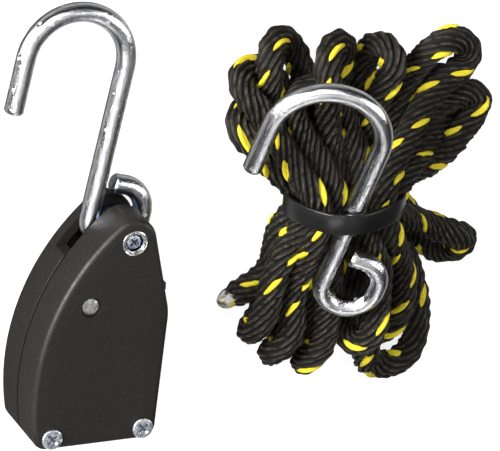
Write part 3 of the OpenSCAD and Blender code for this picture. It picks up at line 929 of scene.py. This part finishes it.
def outline(d):
    """The housing's outline moved inwards by d, counter-clockwise from the bottom left corner."""
    post, turn = np.array(POST), math.radians(BACK_TURN)
    back_centre = post - (BACK_R - TOP_R) * np.array([math.cos(turn), math.sin(turn)])
    r = CORNER_R - d / 2
    y = d - AXLE_HEIGHT + r
    back_r = BACK_R - d
    dx = math.sqrt((back_r - r) ** 2 - (y - back_centre[1]) ** 2)
    corner_c = np.array([back_centre[0] - dx, y])
    low_right = np.array(BOTTOM_RIGHT) + (-d, d)
    knee = np.array(KNEE) - (d, 0)
    to_knee = knee - post
    top_r = TOP_R - d
    top_a = heading(to_knee) + math.degrees(math.acos(top_r / np.linalg.norm(to_knee)))
    corner_a = heading(corner_c - back_centre) + 360
    top = post + top_r * np.array([math.cos(math.radians(top_a)), math.sin(math.radians(top_a))])
    return np.concatenate([
        arc(corner_c, r, corner_a, 270, 10),
        corner(np.array([0, d - AXLE_HEIGHT]), low_right, knee, r, 10),
        corner(low_right, knee, top, KNEE_R, 14),
        arc(post, top_r, top_a, BACK_TURN, 24),
        arc(back_centre, back_r, BACK_TURN, corner_a, 60)[1:-1],
    ])


def shell_piece(name, front):
    """Half of the housing with rounded outer edges, hollow, with its bosses, holes and openings."""
    steps = np.radians(np.linspace(0, 90, 7))
    face = [(EDGE_ROUND * (1 - math.sin(a)), EDGE_ROUND * (1 - math.cos(a))) for a in steps]
    seam = [(0, SEAM + 0.05), (0.05, SEAM), (SEAM_DEPTH, SEAM), (SEAM_DEPTH, 0)]
    levels = [(outline(inset), depth) for inset, depth in face]
    levels += [(outline(inset), MID_Z - gap) for inset, gap in seam]
    if front:
        levels = [(points, HOUSING_T - z) for points, z in levels][::-1]
    shell = prism(name, levels)
    room = prism("tool", [(outline(WALL), WALL), (outline(WALL), HOUSING_T - WALL)])
    for p in SCREWS:
        cut(room, rod(p, SCREW_BOSS_R, -1, HOUSING_T + 1))
    cut(room, rod(POST, TOP_R - 0.3, -1, HOUSING_T + 1))
    cut(shell, room)
    cut(shell, rod((0, 0), AXLE_R, WALL - 1, HOUSING_T - WALL + 1))
    sunk = (HOUSING_T - PIN_SUNK, HOUSING_T + 1) if front else (-1, PIN_SUNK)
    cut(shell, rod(PAWL, PIN_SEAT_R, *sunk))
    cut(shell, rod(PAWL, PIN_R, -1, HOUSING_T + 1))
    cut(shell, rod(POST, POST_R, -1, HOUSING_T + 1))
    if not front:
        cut(shell, rod(POST, POST_HEAD_R, -1, POST_HEAD_T))
    for p in SCREWS:
        cut(shell, rod(p, SCREW_HOLE_R, -1, HOUSING_T + 1))
        if not front:
            cut(shell, rod(p, NUT_R, -1, NUT_T, 6))
    floor = (-AXLE_HEIGHT - 1, -AXLE_HEIGHT + WALL + 0.5)
    cut(shell, block(*MOUTH_X, *floor, MID_Z - MOUTH_HALF, MID_Z + MOUTH_HALF))
    cut(shell, block(*TAB_WINDOW))
    if not front:
        cut(shell, prism("tool", [(HOOK_SLOT, HOOK_SLOT_Z), (HOOK_SLOT, HOUSING_T)]))
    sharpen(shell, 30)
    return shell


def screw_head(name, centre, r, z0, height):
    """Low pan head with a cross recess whose walls taper inwards."""
    profile = [(0, z0), (r - 0.1, z0), (r, z0 + 0.1), (r, z0 + height * 0.5)]
    for a in np.radians([20, 45, 70, 90]):
        profile.append((r - 0.3 * (1 - math.cos(a)), z0 + height * (0.5 + 0.38 * math.sin(a))))
    profile += [(r * 0.5, z0 + height * 0.97), (0, z0 + height)]
    obj = lathe(name, profile, centre)
    top = z0 + height + 0.2
    for turn in (40, 130):
        levels = []
        for z, w, length in ((z0 + height * 0.12, 0.10 * r, 0.50 * r), (top, 0.17 * r, 0.72 * r)):
            c, s = math.cos(math.radians(turn)), math.sin(math.radians(turn))
            box = [(-length, -w), (length, -w), (length, w), (-length, w)]
            levels.append(([(centre[0] + x * c - y * s, centre[1] + x * s + y * c) for x, y in box], z))
        cut(obj, prism("tool", levels))
    sharpen(obj, 28)
    return obj


def joined(name, objects):
    bm = bmesh.new()
    for o in objects:
        bm.from_mesh(o.data)
        bpy.data.objects.remove(o)
    mesh = bpy.data.meshes.new(name)
    bm.to_mesh(mesh)
    bm.free()
    obj = bpy.data.objects.new(name, mesh)
    bpy.context.collection.objects.link(obj)
    return obj


# ---------------------------------------------------------------- build

camera()
wire = placed(spaced(hook_line("load_hook"), 1.0)[0], hook_place("load_hook"))
rope, rope_path, rope_length = rope_piece(rope_line(wire))
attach(rope, "hank")
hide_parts("rope_hank")

melted = melted_material()
end_dir = (rope_path[0] - rope_path[6]) / np.linalg.norm(rope_path[0] - rope_path[6])
end_cap = melted_piece("melted_end", rope_path[0] - end_dir * 1.0, rope_path[0] + end_dir * 3.4, 3)
tail_dir = (rope_path[-1] - rope_path[-6]) / np.linalg.norm(rope_path[-1] - rope_path[-6])
tail_cap = melted_piece("melted_tail", rope_path[-1] - tail_dir * 1.0, rope_path[-1] + tail_dir * 3.6, 5)
for obj, node in ((end_cap, "rope_end_cap"), (tail_cap, "rope_tail_cap")):
    obj.data.materials.append(melted)
    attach(obj, "hank")
    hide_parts(node)

band = band_piece()
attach(band, "hank")
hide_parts("tie_band")

bright = zinc_material("bright_zinc", (0.80, 0.80, 0.80), 0.10)
for node, body, seed in (("top_hook", "top_hook", 11), ("load_hook", "hank", 23)):
    obj = hook_piece(node, bright, seed)
    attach(obj, body)
    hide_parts(node)

# The last colour is the painted highlight along the housing's rounded edges, with some wear
black = plastic_material("grained_black", (0.0095, 0.0080, 0.0068), 0.45, edge_highlight_and_wear=(0.085, 0.065, 0.048))
for node in ("rear_shell", "front_shell"):
    obj = shell_piece(node + "_skin", node == "front_shell")
    obj.data.materials.append(black)
    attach(obj, "housing")
    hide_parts(node)

# deep: below this height the screw heads' cross recesses get painted shade
plated = zinc_material("screw_zinc", (0.80, 0.83, 0.86), 0.34, along_wire=False, depth=0.00003, deep=21.25)
heads = [screw_head("head", p, SCREW_HEAD_R, HOUSING_T, 0.7) for p in SCREWS]
shanks = [rod(p, SCREW_R, 0.5, HOUSING_T) for p in SCREWS]
screws = joined("lower_screw_set", heads + shanks)
sharpen(screws, 28)
# deep: below these heights the post's bore and the inner screw's recess get painted shade
ring_zinc = zinc_material("post_zinc", (0.86, 0.85, 0.78), 0.24, along_wire=False, depth=0.00003, deep=20.6)
inner_zinc = zinc_material("inner_zinc", (0.74, 0.80, 0.88), 0.3, along_wire=False, depth=0.00003, deep=20.1)
post = lathe("post_barrel", [
    (0, 0.3), (4.0, 0.3), (4.2, 0.5), (4.2, 1.4), (4.1, 1.5), (3.1, 1.5), (3.1, 21.0), (3.0, 21.15),
    (2.85, 21.2), (2.75, 21.15), (2.66, 20.8), (2.58, 20.8), (2.48, 21.1), (2.36, 21.1), (2.15, 20.8),
    (2.1, 19.4), (1.25, 19.4), (1.25, 7.0), (0, 7.0)
], POST)
cut(post, block(POST[0] - 0.2, POST[0] + 0.2, POST[1] + 2.3, POST[1] + 3.3, 20.6, 21.5))
sharpen(post, 35)
inner = joined("post_screw_set", [screw_head("head", POST, 1.72, 19.6, 0.8), rod(POST, 1.2, 10.6, 19.6)])
sharpen(inner, 28)
for obj, node, material in (
    (screws, "lower_screws", plated), (post, "hook_post", ring_zinc), (inner, "post_screw", inner_zinc)
):
    obj.data.materials.append(material)
    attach(obj, "housing")
    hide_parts(node)

pin_steel = zinc_material("pin_steel", (0.62, 0.61, 0.57), 0.42, along_wire=False, depth=0.00006)
pin = lathe("pin_rod", [
    (0, 0.75), (1.85, 0.7), (2.15, 1.0), (2.15, HOUSING_T - 1.0), (1.95, HOUSING_T - 0.75),
    (1.6, HOUSING_T - 0.68), (0, HOUSING_T - 0.62)
], PAWL)
pin.data.materials.append(pin_steel)
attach(pin, "housing")
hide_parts("pawl_pin")

nylon = plastic_material("wheel_nylon", (0.035, 0.035, 0.038), 0.42, 0.2)
pawl_black = plastic_material("pawl_nylon", (0.028, 0.028, 0.03), 0.45, 0.25)
brass = zinc_material("bushing_brass", (0.62, 0.45, 0.20), 0.3, along_wire=False, depth=0.00003)
spring = zinc_material("spring_steel", (0.50, 0.52, 0.56), 0.3, along_wire=False, depth=0.00003)
for node, material in {
    "rear_wheel_half": nylon, "front_wheel_half": nylon, "pawl": pawl_black, "wheel_bushing": brass,
    "wheel_axle": pin_steel, "rear_thrust_washer": plated, "front_thrust_washer": plated,
    "pawl_spring": spring, "lower_nuts": plated
}.items():
    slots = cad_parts[node].material_slots
    for s in slots:
        s.material = material
    if not slots:
        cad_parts[node].data.materials.append(material)


# ---------------------------------------------------------------- floor, light and world

def area_light(name, at, size, energy):
    data = bpy.data.lights.new(name, "AREA")
    data.shape = "RECTANGLE"
    data.size, data.size_y = size
    data.energy = energy
    obj = bpy.data.objects.new(name, data)
    obj.location = at
    target = Vector(VIEW_TARGET) * MM
    obj.rotation_euler = (target - Vector(at)).to_track_quat("-Z", "Y").to_euler()
    bpy.context.collection.objects.link(obj)


def studio():
    bpy.ops.mesh.primitive_plane_add(size=6)
    floor = bpy.context.object
    floor.name = "studio_floor"
    floor.visible_glossy = False
    floor.visible_diffuse = False
    paint = Paint("pale_floor")
    mottle = paint.noise(paint.place(), 3.0, 2.0)
    paint.set(Base_Color=paint.mix(mottle, (0.28, 0.28, 0.28), (0.31, 0.31, 0.31)))
    paint.shader.inputs["Roughness"].default_value = 0.9
    paint.shader.inputs["Specular IOR Level"].default_value = 0.0
    paint.shader.inputs["Emission Color"].default_value = (1, 1, 1, 1)
    paint.shader.inputs["Emission Strength"].default_value = 0.86
    floor.data.materials.append(paint.material)
    area_light("side", (-0.70, 0.34, 0.26), (0.25, 0.6), 24.0)
    area_light("above", (-0.22, 0.62, 0.72), (0.2, 0.2), 3.8)
    area_light("right", (0.75, 0.15, 0.55), (0.1, 0.6), 4.0)
    area_light("left", (-0.55, -0.25, 0.75), (0.3, 0.6), 2.4)
    area_light("front", (0.05, -0.82, 0.45), (0.5, 0.3), 1.4)
    world = bpy.data.worlds.new("studio")
    bpy.context.scene.world = world
    world.use_nodes = True
    tree = world.node_tree
    place = tree.nodes.new("ShaderNodeTexCoord")
    split = tree.nodes.new("ShaderNodeSeparateXYZ")
    tree.links.new(place.outputs["Generated"], split.inputs[0])
    ramp = tree.nodes.new("ShaderNodeValToRGB")
    for at, grey in WORLD_STOPS:
        element = ramp.color_ramp.elements.new(at)
        element.color = (grey, grey, grey, 1)
    ramp.color_ramp.elements.remove(ramp.color_ramp.elements[0])
    ramp.color_ramp.elements.remove(ramp.color_ramp.elements[-1])
    level = tree.nodes.new("ShaderNodeMapRange")
    level.inputs["From Min"].default_value = -1
    tree.links.new(split.outputs[2], level.inputs["Value"])
    tree.links.new(level.outputs["Result"], ramp.inputs["Fac"])
    tree.links.new(ramp.outputs["Color"], tree.nodes["Background"].inputs["Color"])
    tree.nodes["Background"].inputs["Strength"].default_value = 1.0
    bpy.context.scene.view_settings.view_transform = "Standard"


studio()
